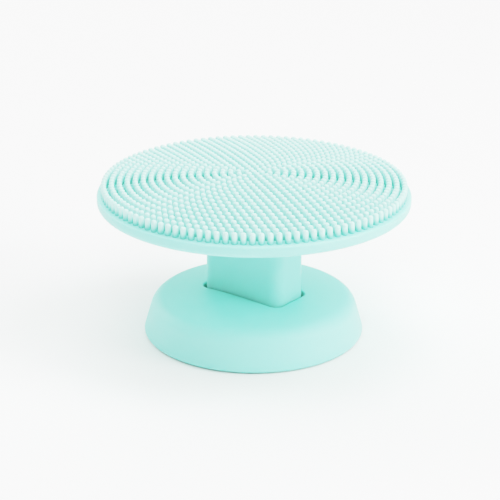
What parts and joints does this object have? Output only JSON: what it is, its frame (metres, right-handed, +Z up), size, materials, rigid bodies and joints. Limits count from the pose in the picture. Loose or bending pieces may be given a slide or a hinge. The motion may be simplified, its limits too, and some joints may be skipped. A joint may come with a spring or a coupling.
{
  "type": "facial cleansing brush",
  "caption": "Manual silicone face brush: a round head covered with short bristles on a flat rectangular grip, plugged upright into a low domed stand.",
  "frame": {"origin": "centre of the flat face the stand rests on", "axes": "+Z up through the head's centre; +X along the grip's long side, +Y along its short side"},
  "size_m": [0.076, 0.076, 0.0417],
  "materials": {
    "silicone": "matte",
    "plastic": "fine satin",
    "ballast": "zinc plated",
    "foot": "matte"
  },
  "bodies": {
    "stand": {"stand_shell": "silicone", "stand_frame": "plastic", "ballast_ring": "ballast", "base_plate": "plastic", "foot_ring": "foot"},
    "brush_head": {"bristle_pad": "silicone", "carrier_plate": "plastic", "back_cover": "plastic", "grip_core": "plastic", "grip_sleeve": "silicone", "grip_end_cap": "plastic"}
  },
  "joints": [
    {"name": "head_lift", "type": "slide", "parent": "stand", "child": "brush_head", "axis": [0, 0, 1], "range_m": [0, 0.03]}
  ]
}
